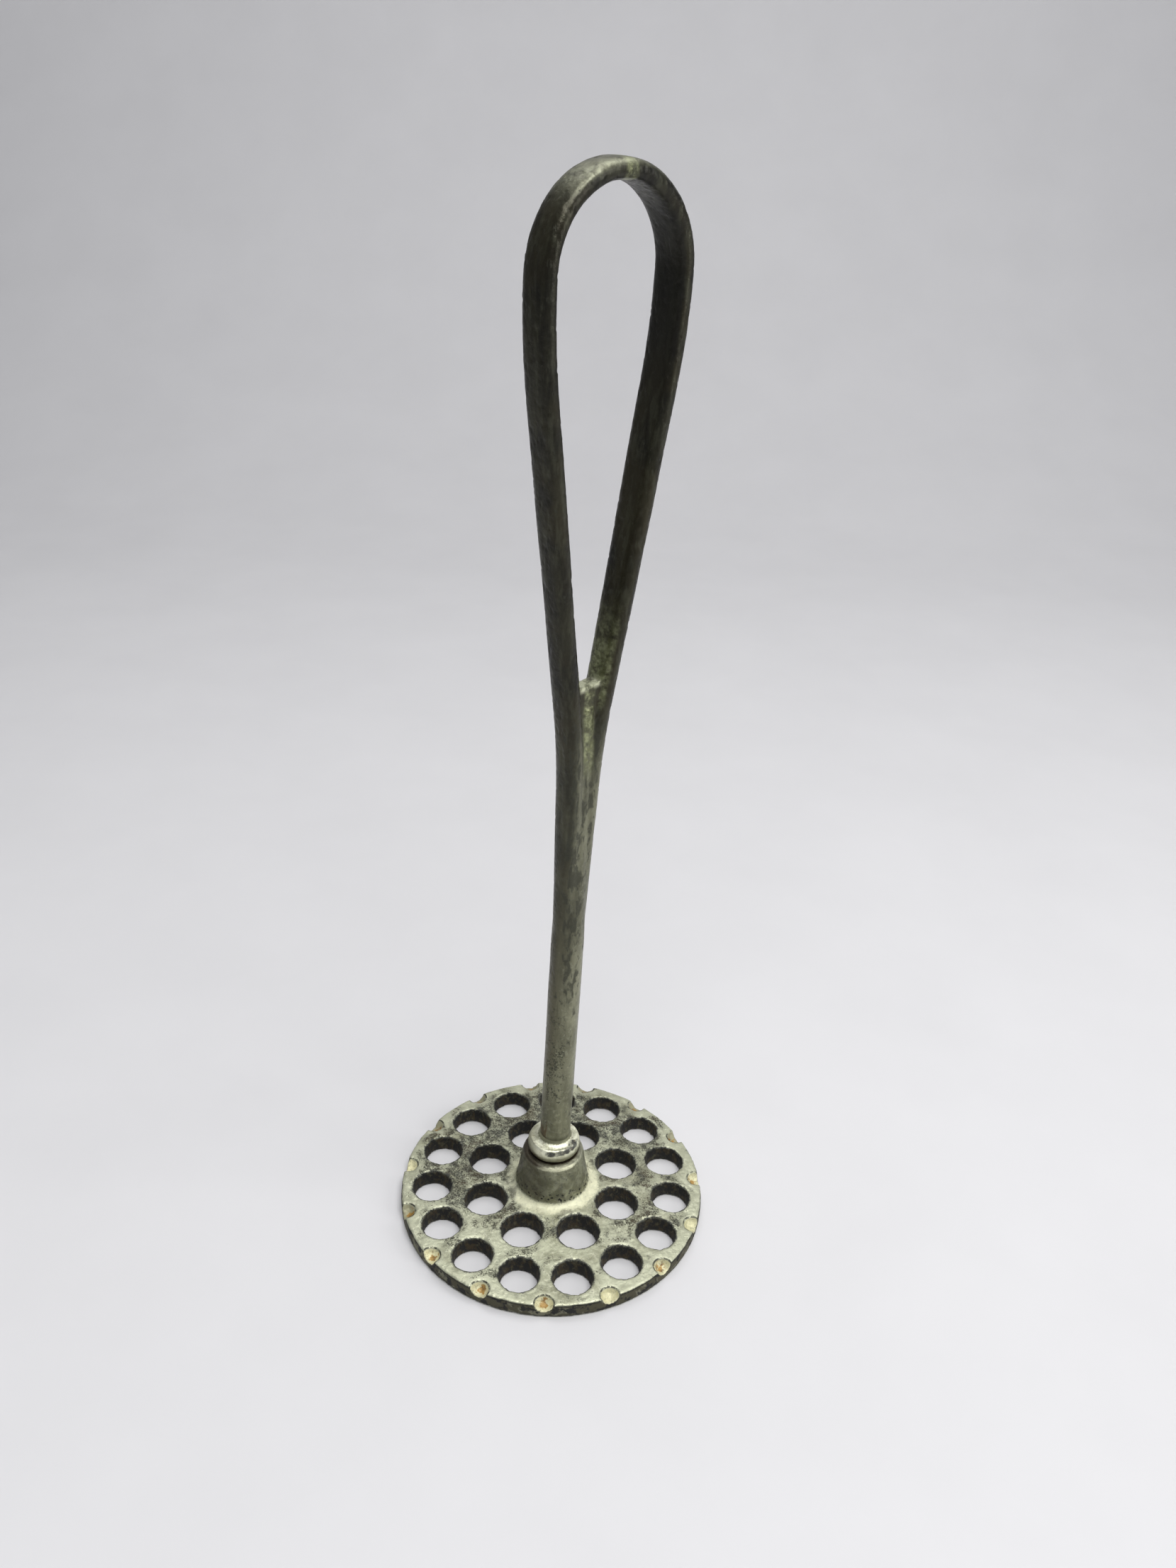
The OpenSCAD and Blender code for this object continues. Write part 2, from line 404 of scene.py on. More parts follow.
def hole_lips(n, color, fine, coarse, fringe):
    """A ragged dark fringe round each hole, and a raw lip, made blackest at the front with painted shade.
    """
    color = n.mix(fringe, color, n.mix(n.ramp(fine, 0.34, 0.5), IRON_BLACK, IRON_GREY))
    lip = n.ramp(n.attribute("gap"), 0.15, 0.42, 1.0, 0.0)
    color = n.mix(lip, color, n.mix(n.ramp(fine, 0.48, 0.62), IRON_GREY, TIN_GREY))
    # Painted shade: the front lip of each hole made blacker.
    black_lip = n.math("ADD", n.attribute("near_lip"), n.ramp(coarse, 0.46, 0.58))
    return n.mix(n.math("MULTIPLY", lip, black_lip), color, IRON_BLACK)


def hole_wall(n):
    """Black iron with brown and olive patches."""
    upright = n.stretched(1, 1, 0.7)
    brown = n.ramp(n.noise(2.2, 5, 0.7, 0.5, upright), 0.48, 0.62)
    olive = n.ramp(n.noise(1.1, 5, 0.7, 0.3, upright), 0.52, 0.66)
    return n.mix(olive, n.mix(brown, IRON_BLACK, WALL_BROWN), IRON_OLIVE)


def rim_side(n):
    """Flaking tin over olive and black iron, black along the corners."""
    rim = n.mix(n.ramp(n.noise(4.2, 4, 0.6, 0.8), 0.52, 0.6), IRON_OLIVE, RIM_TIN)
    rim = n.mix(n.ramp(n.noise(2.4, 4), 0.5, 0.6), rim, IRON_BLACK)
    return n.mix(n.attribute("corner"), rim, IRON_BLACK)


def rim_notch(n, color, fine, coarse, bowl):
    """Pale flecks, a rusty heart and a broken dark line round each notch."""
    flecks = n.mix(n.ramp(n.blend(0.5, fine, coarse), 0.32, 0.52), TIN_DULL, NOTCH_PALE)
    # lit is each notch's paleness, with painted shade on the dull ones.
    color = n.mix(bowl, color, n.mix(n.attribute("lit"), TIN_DULL, flecks))
    spot = n.math("ADD", n.attribute("heart"), n.ramp(n.noise(1.2, 4, 0.6), 0.3, 0.7, -0.4, 0.4))
    spot = n.math("MULTIPLY", n.ramp(spot, 0.25, 0.7, 0.0, 0.9), bowl)
    spot = n.math("MULTIPLY", spot, n.attribute("rusty"))
    color = n.mix(spot, color, n.mix(n.ramp(coarse, 0.36, 0.52), RUST_DARK, RUST))
    scoop = n.attribute("scoop")
    line = n.math("SUBTRACT", n.ramp(scoop, -0.11, -0.05), n.ramp(scoop, 0.0, 0.05))
    return n.mix(n.math("MULTIPLY", line, n.ramp(coarse, 0.42, 0.56, 0.1, 0.9)), color, IRON_BLACK)


def tinned_iron():
    """Rough cast iron under dull tin: stains, clusters of black specks and raw hole edges."""
    n = Nodes("tinned_iron")
    wall, side, grimy, soot = (n.attribute(key) for key in ("wall", "side", "grimy", "soot"))
    fine = n.noise(0.42, 5, 0.7)
    coarse = n.noise(1.3, 5, 0.62)
    # The cream is the pooled tin at the hub's foot together with its painted highlight.
    cream = n.math("ADD", n.attribute("foot"), n.ramp(n.blend(0.4, fine, coarse), 0.3, 0.7, -0.3, 0.3))
    cream = n.ramp(cream, 0.15, 0.85)
    ragged = n.ramp(n.blend(0.5, fine, coarse), 0.3, 0.7, 0.55, -0.55)
    fringe = n.ramp(n.math("ADD", n.attribute("gap"), ragged), 0.2, 0.65, 0.85, 0.0)
    bowl = n.ramp(n.attribute("scoop"), 0.0, 0.08)

    specks = fine_specks(n, fine, coarse, cream, grimy)
    speck_tone = n.mix(n.ramp(n.noise(9, 3), 0.5, 0.62), SPECK_BLACK, IRON_BROWN)
    color = n.mix(specks, tin_coat(n, coarse, cream, grimy), speck_tone)
    pits = round_pits(n, fine)
    color = n.mix(pits, color, IRON_BLACK)
    # Painted shade round the collar and on the hub's left side.
    color = n.mix(soot, color, n.mix(coarse, IRON_BROWN, IRON_BLACK))
    color = hole_lips(n, color, fine, coarse, fringe)
    color = n.mix(wall, color, hole_wall(n))
    color = n.mix(side, color, rim_side(n))
    color = rim_notch(n, color, fine, coarse, bowl)

    specks = n.math("MAXIMUM", specks, pits)
    bare = n.math("MAXIMUM", n.math("MAXIMUM", specks, wall), n.math("MAXIMUM", fringe, side))
    pale = n.math("MAXIMUM", bowl, cream)
    metal = n.math("MULTIPLY", n.blend(bare, 0.6, 0.2), n.ramp(pale, 0.0, 1.0, 1.0, 0.35))
    rough = n.blend(pale, n.ramp(coarse, 0.3, 0.7, 0.32, 0.5), 0.5)
    rough = n.blend(bare, rough, 0.75)
    height = n.blend(0.5, coarse, n.noise(3.0, 4))
    height = n.math("SUBTRACT", height, n.math("MULTIPLY", specks, 0.4))
    return n.finish(color, metal, rough, height, 0.3)


def bright_collar():
    """Smooth bright metal, lightly pitted and brown on top, with a painted dark reflection on its front
    right and painted shade low down and on its left.
    """
    n = Nodes("bright_collar")
    smear, grime, crown = (n.attribute(key) for key in ("smear", "grime", "crown"))
    fine = n.noise(0.6, 5, 0.65)
    coarse = n.noise(2.0, 5, 0.6, 0.6)
    lumpy = n.noise(1.3, 3, 0.5)
    color = n.mix(n.ramp(coarse, 0.42, 0.7), COLLAR_BRIGHT, COLLAR_GREY)
    # Painted shade low on the collar and on its left.
    color = n.mix(n.math("MULTIPLY", n.attribute("flank"), 0.85), color, TIN_DULL)
    # Painted reflection of the dark room on the dome's front right.
    ragged = n.math("ADD", smear, n.ramp(n.blend(0.3, lumpy, fine), 0.3, 0.7, -0.4, 0.4))
    dark = n.ramp(ragged, 0.35, 1.05, 0.0, 0.95)
    color = n.mix(dark, color, n.mix(n.ramp(coarse, 0.44, 0.6), SMEAR_DARK, SMEAR_PALE))
    brown = n.math("MULTIPLY", crown, n.ramp(n.noise(1.1, 4, 0.6), 0.56, 0.66, 0.0, 0.45))
    color = n.mix(brown, color, COLLAR_BROWN)
    neck = n.math("ADD", n.attribute("neck"), n.ramp(fine, 0.3, 0.7, -0.3, 0.3))
    color = n.mix(n.ramp(neck, 0.3, 0.7), color, COLLAR_DULL)
    # Painted shade at the collar's foot.
    color = n.mix(grime, color, IRON_BROWN)
    rough = n.blend(n.math("MAXIMUM", dark, grime), n.ramp(fine, 0.3, 0.7, 0.3, 0.44), 0.4)
    height = n.blend(0.6, fine, lumpy)
    return n.finish(color, n.blend(grime, 0.72, 0.3), rough, height, 0.24)


def worn_handle():
    """Dull tinned bar: long dark blotches and pits, nearly black on the loop, with painted shade and
    painted light.
    """
    n = Nodes("worn_handle")
    bright, rust, loop = (n.attribute(key) for key in ("bright", "rust", "loop"))
    stained, pitted, soot = (n.attribute(key) for key in ("stained", "pitted", "soot"))
    along = n.stretched(1, 1, 0.22)
    fine = n.noise(0.5, 5, 0.68)
    coarse = n.noise(1.2, 5, 0.62)
    tone = n.ramp(n.noise(4, 5, 0.6, 0.3, along), 0.35, 0.65)
    tin = n.mix(tone, BAR_PALE, BAR_DULL)
    tin = n.mix(n.ramp(coarse, 0.5, 0.75, 0.0, 0.4), tin, TIN)
    streaks = n.ramp(n.noise(1.6, 4, 0.6, 0.2, along), 0.45, 0.68)
    black = n.mix(tone, LOOP_DARK, LOOP_BLACK)
    black = n.mix(n.ramp(n.noise(19, 3), 0.42, 0.6, 0.0, 0.5), black, LOOP_BROWN)
    black = n.mix(n.math("MULTIPLY", streaks, 0.4), black, LOOP_STREAK)
    # Painted shade on the shank's left side.
    tin = n.mix(n.math("MULTIPLY", n.attribute("dim"), 0.8), tin, BAR_DIM)
    # The loop's dark tone, less dark where light is painted on the right side and on the arch's top.
    tin = n.mix(loop, tin, black)
    blotch = n.blend(0.25, n.noise(1.5, 3, 0.55, 0.3, n.stretched(1, 1, 0.35)), coarse)
    blotch = n.math("ADD", blotch, n.math("MULTIPLY", stained, 0.14))
    blotch = n.ramp(blotch, 0.58, 0.7, 0.0, 0.8)
    dots = n.math("ADD", n.blend(0.35, fine, coarse), n.math("MULTIPLY", pitted, 0.13))
    dots = n.ramp(dots, 0.61, 0.69, 0.0, 0.85)
    dark = n.math("MAXIMUM", blotch, dots)
    color = n.mix(dark, tin, n.mix(fine, BLOTCH_DARK, BLOTCH_OLIVE))
    patchy = n.ramp(n.noise(2.2, 5, 0.6), 0.36, 0.58, 0.15, 1.0)
    pooled = n.mix(n.ramp(coarse, 0.4, 0.6), WEB_DULL, WEB_PALE)
    color = n.mix(n.math("MULTIPLY", n.attribute("web"), patchy), color, pooled)
    # Pale tin on the crotch ledge, and the arch's painted highlight.
    color = n.mix(n.math("MULTIPLY", bright, patchy), color, n.mix(coarse, TIN_GREY, TIN))
    brown = n.math("ADD", rust, n.ramp(n.noise(1.5, 4, 0.6, 0.2, along), 0.3, 0.7, -0.4, 0.4))
    color = n.mix(n.ramp(brown, 0.5, 0.85, 0.0, 0.7), color, BAR_RUST)
    # Painted shade just above the collar and inside the loop.
    color = n.mix(soot, color, IRON_BLACK)
    metal = n.blend(dark, 0.6, 0.3)
    rough = n.blend(dark, n.ramp(coarse, 0.3, 0.7, 0.28, 0.42), 0.6)
    rough = n.blend(bright, rough, 0.5)
    height = n.blend(0.5, coarse, n.noise(3.0, 4))
    height = n.math("SUBTRACT", height, n.math("MULTIPLY", dark, 0.3))
    return n.finish(color, metal, rough, height, 0.22)


# ---------------------------------------------------------------- the disc

def ring_centres(ring, half_step=False):
    step = 360 / ring["count"]
    first = ring["first"] + (step / 2 if half_step else 0)
    for i in range(ring["count"]):
        angle = math.radians(first + step * i)
        yield np.array((math.cos(angle), math.sin(angle)))


def nearest_hole(points):
    """Distance from each point to the nearest hole's wall in plan, and the way out from its middle."""
    gap = np.full(len(points), 99.0)
    outward = np.zeros((len(points), 2))
    narrowing = HOLE_DRAFT * np.clip(1 - points[:, 2] / HOLE_TOP_Z, 0, 1)
    for ring in (OUTER_RING, INNER_RING):
        for centre in ring_centres(ring):
            offset = points[:, :2] - centre * ring["radius"]
            away = np.hypot(*offset.T)
            from_wall = away - ring["hole_r"] + narrowing
            nearer = from_wall < gap
            gap[nearer] = from_wall[nearer]
            outward[nearer] = offset[nearer] / away[nearer, None]
    return gap, outward


def notch_paint(points):
    """How deep each point lies in a rim notch, how near its rusty heart, how pale and how rusty.

    The depth is 1 at a notch's middle, 0 at its lip and negative outside. The notches are
    counted round from the first one.
    """
    ball_z = DISC_T - NOTCH_DEPTH + NOTCH_BALL_R
    plan, proud = np.full(len(points), 99.0), np.full(len(points), 99.0)
    heart, pale, rusty = (np.zeros(len(points)) for layer in range(3))
    chance = random.Random(4)
    for count, centre in enumerate(ring_centres(OUTER_RING, True)):
        away = np.hypot(*(points[:, :2] - centre * (DISC_R - NOTCH_INSET)).T)
        nearest = away < plan
        # Paleness varies at random per notch; the dull ones are cut to a fifth as painted shade.
        pale[nearest] = chance.uniform(0.65, 1.0) * (0.2 if count in DULL_NOTCHES else 1)
        rusty[nearest] = 0 if count in CLEAN_NOTCHES else 1
        inner = np.hypot(*(points[:, :2] - centre * (DISC_R - NOTCH_INSET - 1.2)).T)
        heart = np.maximum(heart, 1 - inner / 1.9)
        plan = np.minimum(plan, away)
        proud = np.minimum(proud, np.hypot(away, points[:, 2] - ball_z) - NOTCH_BALL_R)
    inside = np.clip(1 - plan / NOTCH_R, 0, 1) * (1 - smooth(0.15, 0.35, proud))
    depth = np.where(proud < 0.15, inside, -np.clip(proud - 0.15, 0, 5) / NOTCH_R)
    return depth, heart, pale, rusty


def hub_paint(points, normals, low, on_hub):
    """Where the hub is dull, where tin pooled at its foot (with a painted highlight at the front), where
    it is pitted, and where shade is painted under the collar and on the left.
    """
    radius, height = np.hypot(points[:, 0], points[:, 1]), points[:, 2]
    top = smooth(0.45, 0.9, normals[:, 2]) * smooth(HUB_H - 1.4, HUB_H - 0.6, height)
    from_foot = np.hypot(np.maximum(radius - HUB_FOOT_R - 0.4, 0), np.maximum(height - FILLET_Z, 0))
    foot = (1 - smooth(1.0, 4.6, from_foot)) * low * (1 - on_hub)
    # Painted light: the pooled tin made brighter towards the front right.
    foot *= 0.6 + 0.4 * smooth(-8, 6, points[:, 0] - points[:, 1])
    # Painted highlight: the front of the hub's rounded top edge, added to the cream foot.
    facing = np.cos(np.arctan2(points[:, 1], points[:, 0]) - SHOULDER_ANGLE)
    edge = smooth(HUB_H - 1.5, HUB_H - 1.0, height) * (1 - smooth(HUB_H - 0.5, HUB_H - 0.2, height))
    foot = np.maximum(foot, edge * smooth(0.66, 0.92, facing))
    pitted = smooth(FILLET_Z + 0.8, FILLET_Z + 1.6, height)
    pitted *= 1 - smooth(FILLET_Z + 3.0, FILLET_Z + 6.0, height)
    round_collar = np.hypot(points[:, 0] - HANDLE_SHIFT, points[:, 1])
    left = smooth(2.0, 7.0, -points[:, 0] - 0.3 * points[:, 1])
    # Painted shade: dark under the collar's rim, over the hub's top, on its left shoulder and down its
    # left side.
    soot = 1 - smooth(COLLAR_R - 0.5, COLLAR_R + 0.1, round_collar)
    soot = np.maximum(soot, 0.6 + 0.25 * left) * smooth(HUB_H - 0.5, HUB_H - 0.2, height)
    soot = np.maximum(soot, 0.95 * left * smooth(HUB_H - 1.4, HUB_H - 0.4, height))
    soot = np.maximum(soot, on_hub * left * 0.5)
    return {"hub": on_hub * (1 - top), "foot": foot, "pitted": pitted, "soot": soot}


def disc_grime(points, gap, on_hub):
    """More dirt between the holes, in patches and in the gap between the rings, and painted shade towards
    the back and left.
    """
    radius = np.hypot(points[:, 0], points[:, 1])
    beside = smooth(0.3, 1.2, gap) * (1 - smooth(2.0, 3.4, gap))
    patches = smooth(-0.1, 0.45, cloud(points, 7.0, 5, 2))
    grimy = 0.75 * beside * patches + 0.65 * smooth(0.05, 0.55, cloud(points, 5.0, 6, 2))
    # Painted shade: darker towards the back and left; all of it less near the rim.
    grimy += 0.7 * smooth(-14, 20, points[:, 1] - 0.3 * points[:, 0]) - 0.6 * smooth(38, 41, radius)
    ring_gap = 1 - smooth(2, 6, np.abs(radius - (OUTER_RING["radius"] + INNER_RING["radius"]) / 2))
    grimy += 0.35 * ring_gap * smooth(-24, -10, points[:, 1])
    grimy *= 1 - 0.6 * on_hub
    return np.clip(grimy, 0, 1)


def cast_roughness(points, wall, side, in_scoop):
    """How far each point is pushed out: lumps, grain, pits, rough bores and a chipped rim."""
    pits = smooth(0.32, 0.55, cloud(points, 1.0, 3, 2))
    push = 0.06 * cloud(points, 5.0, 1, 3) + 0.03 * cloud(points, 1.3, 2, 3) - 0.12 * pits * (1 - wall)
    push += wall * 0.1 * cloud(points * (1, 1, 0.35), 1.3, 4, 3)
    push += in_scoop * 0.12 * cloud(points, 1.2, 14, 2)
    near_top = smooth(DISC_T - 1.4, DISC_T, points[:, 2])
    return push - 0.35 * side * smooth(0.1, 0.5, cloud(points, 3.2, 9, 2)) * near_top


def masher_plate():
    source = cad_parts["masher_plate"].data.copy()
    mesh = remeshed(cleaned(source), DISC_VOXEL, 2)
    points, normals = coords(mesh), coords(mesh, "normal")
    radius, height = np.hypot(points[:, 0], points[:, 1]), points[:, 2]
    steep = 1 - np.abs(normals[:, 2])
    gap, outward = nearest_hole(points)
    low = 1 - smooth(FILLET_Z + 0.5, FILLET_Z + 2.0, height)
    on_hub = smooth(FILLET_Z + 1.1, FILLET_Z + 1.9, height)
    scoop, heart, pale, rusty = notch_paint(points)
    in_scoop = smooth(-0.05, 0.05, scoop)
    wall = (1 - smooth(0.25, 0.6, gap)) * low * smooth(0.35, 0.7, steep)
    side = smooth(DISC_R - 0.8, DISC_R - 0.4, radius) * smooth(0.2, 0.5, steep) * (1 - in_scoop)
    corner = smooth(DISC_T - 1.0, DISC_T - 0.5, height) + 1 - smooth(0.4, 1.0, height)
    paint(mesh, gap=np.where(low > 0.5, np.clip(gap, -1, 9), 9), scoop=scoop, wall=wall, side=side,
          corner=np.clip(corner, 0, 1), lit=pale, rusty=rusty, heart=heart,
          # the front lip of each hole is painted darker as painted shade
          grimy=disc_grime(points, gap, on_hub), near_lip=0.8 * smooth(0.3, 0.9, -outward[:, 1]),
          **hub_paint(points, normals, low, on_hub))

    points += normals * cast_roughness(points, wall, side, in_scoop)[:, None]
    lip = (1 - smooth(0.3, 1.0, np.abs(gap))) * low * smooth(0.0, 0.4, np.abs(normals[:, 2]))
    points[:, :2] += outward * (lip * 0.22 * cloud(points, 1.5, 10, 2))[:, None]
    points[:, 2] = np.maximum(points[:, 2], 0)
    set_coords(mesh, points)
    mesh.materials.append(tinned_iron())
    return new_piece("masher_disc", mesh, "tinned_iron", "masher_plate")


# ---------------------------------------------------------------- the collar

def arc(centre, radii, start, stop, count):
    """Points on an ellipse's arc, without its first."""
    for step in range(1, count + 1):
        angle = math.radians(start + (stop - start) * step / count)
        yield centre[0] + radii[0] * math.cos(angle), centre[1] + radii[1] * math.sin(angle)


def collar_outline():
    """A domed bead that runs up the shank in a small fillet."""
    waist_z, dome_z = COLLAR_LOW + COLLAR_WAIST_H, COLLAR_LOW + COLLAR_H
    fillet = COLLAR_FILLET_R
    outline = [(TENON_R + 0.1, COLLAR_LOW), (COLLAR_BASE_R - 0.3, COLLAR_LOW)]
    outline += arc((COLLAR_BASE_R, waist_z), (COLLAR_R - COLLAR_BASE_R, COLLAR_WAIST_H), -90, 0, 14)
    outline += arc((DOME_TOP_R, waist_z), (COLLAR_R - DOME_TOP_R, dome_z - waist_z), 0, 90, 20)
    outline += arc((DOME_TOP_R, dome_z + fillet), (DOME_TOP_R - COLLAR_NECK_R, fillet), 270, 180, 14)
    return outline + [(COLLAR_NECK_R, SEAT_Z), (TENON_R + 0.1, SEAT_Z)]


def collar():
    """The bead, a little dented and lopsided, with a painted dark reflection that rises to the right."""
    points, faces = lathe(collar_outline(), 280, closed=True)
    mesh = mesh_of("collar_ring", points, faces)
    mesh.shade_smooth()
    places, normals = coords(mesh), coords(mesh, "normal")
    radius, height = np.hypot(places[:, 0], places[:, 1]), places[:, 2]
    up = height - COLLAR_LOW
    outer = smooth(SEAT_R + 0.1, SEAT_R + 0.6, radius)
    lopsided = COLLAR_LOPSIDE * smooth(SEAT_R, COLLAR_R, radius)
    dents = 0.11 * cloud(places, 4.0, 7, 2) + 0.04 * cloud(places, 1.5, 8, 2) - 0.05
    places += normals * (outer * dents)[:, None]
    # Painted shade: the collar darker at its foot, reaching higher up on the left.
    aside = smooth(0.5, 6.5, -places[:, 0])
    grime = 1 - smooth(0.1 + 1.3 * aside, 0.6 + 3.0 * aside, up)
    crown = smooth(3.2, 4.6, up)
    # Painted reflection: a dark band across the dome's front right, rising to the right.
    turn = np.arctan2(places[:, 1], places[:, 0]) - SMEAR_ANGLE
    turn = np.arctan2(np.sin(turn), np.cos(turn))
    belt = 1 - smooth(0.2, 1.3, np.abs(up - 4.1 - 0.5 * turn))
    smear = belt * (1 - smooth(0.6, 1.1, np.abs(turn)))
    neck = 1 - smooth(SEAT_R + 0.1, SEAT_R + 0.7, radius)
    # Painted shade: the collar's lower part and its left side made duller.
    flank = np.maximum(1 - smooth(1.8, 3.2, up), smooth(3.5, 7.5, -places[:, 0]))
    paint(mesh, grime=0.9 * grime, crown=crown, smear=smear, neck=neck, flank=flank)
    places[:, 0] += HANDLE_SHIFT - lopsided
    set_coords(mesh, places)
    mesh.materials.append(bright_collar())
    return new_piece("collar_ring", mesh, "bright_collar", "collar")


# ---------------------------------------------------------------- the handle

def leg_half_w(z):
    """Half the distance between the middles of the loop's legs at a height."""
    if z > ARCH_Z - SWELL_H:
        return LOOP_HALF_W - LEG_SLOPE * (ARCH_Z - z) ** 2 / (2 * SWELL_H)
    if z > CROTCH_Z:
        return CROTCH_HALF_W + LEG_SLOPE * (z - CROTCH_Z)
    if z > BEND_LOW_Z:
        up = z - BEND_LOW_Z
        return BEND_HALF_W + MERGE_SLOPE * up + (LEG_SLOPE - MERGE_SLOPE) * up ** 2 / (2 * BEND_H)
    share = (z - MERGE_Z) / (BEND_LOW_Z - MERGE_Z)
    return MERGE_HALF_W + (BEND_HALF_W - MERGE_HALF_W) * share


def loop_line(step):
    """The loop's centre line in its own plane: up one leg, over the arch and down the other."""
    count = int((ARCH_Z - MERGE_Z) / step)
    leg = [(leg_half_w(z), z) for z in np.linspace(MERGE_Z, ARCH_Z, count, endpoint=False)]
    count = int(ARCH_R * math.pi / 2 / step)
    arch = [(LOOP_HALF_W * math.cos(t), ARCH_Z + ARCH_R * math.sin(t))
            for t in np.linspace(0, math.pi / 2, count)]
    half = leg + arch
    return np.array(half + [(-x, z) for x, z in reversed(half[:-1])])


def loop_bar(sides=40, step=0.8):
    """The bent bar, round at its ends and flattened where the hand holds it."""
    line = loop_line(step)
    along = np.gradient(line, axis=0)
    along /= np.linalg.norm(along, axis=1)[:, None]
    points, faces = [], []
    for (x, z), (ax, az) in zip(line, along):
        flat = min(1.0, max(0.0, (z - MERGE_Z) / (FLAT_Z - MERGE_Z)))
        stout = 1 + LEG_BIAS * x / LOOP_HALF_W
        a, b = (stout * (low + (high - low) * flat) for low, high in zip(BAR_LOW, BAR_TOP))
        power = 1 - 0.3 * flat
        for s in range(sides):
            angle = 2 * math.pi * s / sides
            c, d = math.cos(angle), math.sin(angle)
            out = a * math.copysign(abs(c) ** power, c)
            side = b * math.copysign(abs(d) ** power, d)
            points.append((x + out * az, side, z - out * ax))
    rings = len(line)
    for ring in range(rings - 1):
        low, high = ring * sides, (ring + 1) * sides
        for s in range(sides):
            t = (s + 1) % sides
            faces.append((low + s, low + t, high + t, high + s))
    faces.append(tuple(reversed(range(sides))))
    faces.append(tuple(range((rings - 1) * sides, rings * sides)))
    return points, faces


def crotch_web(half_thick=2.1, low_z=150.0, short=1.5):
    """The metal that fills the crotch, with a slanting top; its sides end inside the legs."""
    points = []
    for z, slant in ((low_z, 0.0), (FILL_TOP_Z, WEB_SLANT)):
        half_w = leg_half_w(z) - short
        points += [(x, y, z + slant * x) for y in (-half_thick, half_thick) for x in (-half_w, half_w)]
    faces = [(0, 1, 3, 2), (4, 5, 7, 6), (0, 1, 5, 4), (2, 3, 7, 6), (0, 2, 6, 4), (1, 3, 7, 5)]
    return points, faces


def handle_frame():
    """How the handle's own frame lies in the part: it leans from its seat in the collar."""
    up = Matrix.Translation((0, 0, SEAT_Z * MM))
    aside = Matrix.Translation((HANDLE_SHIFT * MM, 0, 0))
    return aside @ up @ Matrix.Rotation(LEAN, 4, "Y") @ up.inverted()


def handle_skin(turn):
    """The loop, its crotch web, the shank and the tenon under one even skin."""
    aside = Matrix.Translation((HANDLE_SHIFT * MM, 0, 0))
    shank = [(SHANK_R, SEAT_Z), (SHANK_R, TAPER_Z), (BAR_LOW[1] - 0.5, FILL_TOP_Z - 6)]
    tenon = [(PEEN_R, PEEN_GAP), (TENON_R, PEEN_H), (TENON_R, SEAT_Z + 1)]
    work = bmesh.new()
    for (points, faces), place in ((loop_bar(), turn), (crotch_web(), turn),
                                   (lathe(shank, 64), handle_frame()), (lathe(tenon, 64), aside)):
        part = mesh_of("part", points, faces)
        part.transform(place)
        work.from_mesh(part)
        bpy.data.meshes.remove(part)
    bmesh.ops.recalc_face_normals(work, faces=work.faces)
    whole = bpy.data.meshes.new("handle_bar")
    work.to_mesh(whole)
    work.free()
    return remeshed(whole, HANDLE_VOXEL, 6)


def loop_paint(own, own_normals, normals):
    """Dark loop, made less dark as painted light on the right-facing side below the crotch and on the
    arch's top, pale crotch, and a painted highlight on the arch; own is in the loop's frame, with its
    plane at y 0.
    """
    across, height = np.abs(own[:, 0]), own[:, 2]
    inward = -own_normals[:, 0] * np.sign(own[:, 0])
    web = (1 - smooth(0.9, 2.2, across)) * smooth(140, 149, height)
    web = np.maximum(web, 0.8 * smooth(158, 164, height) * (1 - smooth(168, 190, height))
                     * smooth(0.4, 0.9, inward))
    rise = height - FILL_TOP_Z - WEB_SLANT * own[:, 0]
    ledge = (1 - smooth(2.4, 4.2, across)) * smooth(-1.6, -0.5, rise) * (1 - smooth(1.0, 2.0, rise))
    # Painted light: the arch's up-facing top made less dark.
    crown = smooth(LOOP_TOP_Z - 12, LOOP_TOP_Z - 2, height) * smooth(0.2, 0.8, normals[:, 2])
    # Painted light: the right-facing side below the crotch made less dark.
    right = smooth(0.0, 0.8, normals[:, 0]) * (1 - smooth(140, 165, height))
    loop = 0.85 * smooth(56, 120, height) * (1 - 0.65 * right) + 0.15 * smooth(130, 165, height)
    # Painted highlight on the front edge of the arch's top, left of middle.
    gleam = smooth(258, 272, height) * smooth(-17, -9, own[:, 0]) * (1 - smooth(0, 9, own[:, 0]))
    gleam *= smooth(0.2, 0.7, normals[:, 2]) * smooth(-0.1, 0.5, -normals[:, 1])
    return {"web": web, "bright": np.clip(ledge + 0.5 * gleam, 0, 1), "loop": loop * (1 - 0.35 * crown)}


def shank_paint(own, normals):
    """The shank's left side, darkened as painted shade, and its stained and pitted stretches."""
    height = own[:, 2]
    # Painted shade: the shank's left-facing side darker between about 30 and 150 mm up.
    dim = smooth(-0.3, 0.8, -normals[:, 0]) * smooth(30, 60, height) * (1 - smooth(90, 150, height))
    heading = np.arctan2(normals[:, 1], normals[:, 0])
    stained = smooth(62, 80, height) * (1 - smooth(140, 175, height))
    stained *= 0.25 + 0.75 * smooth(0.75, 0.97, np.cos(heading - STAIN_ANGLE))
    pitted = smooth(26, 36, height) * (1 - smooth(58, 84, height))
    pitted *= smooth(0.6, 0.95, np.cos(heading - PITTED_ANGLE)) * smooth(-0.5, 0.2, cloud(own, 7.0, 15, 1))
    return {"dim": dim, "stained": stained, "pitted": pitted}


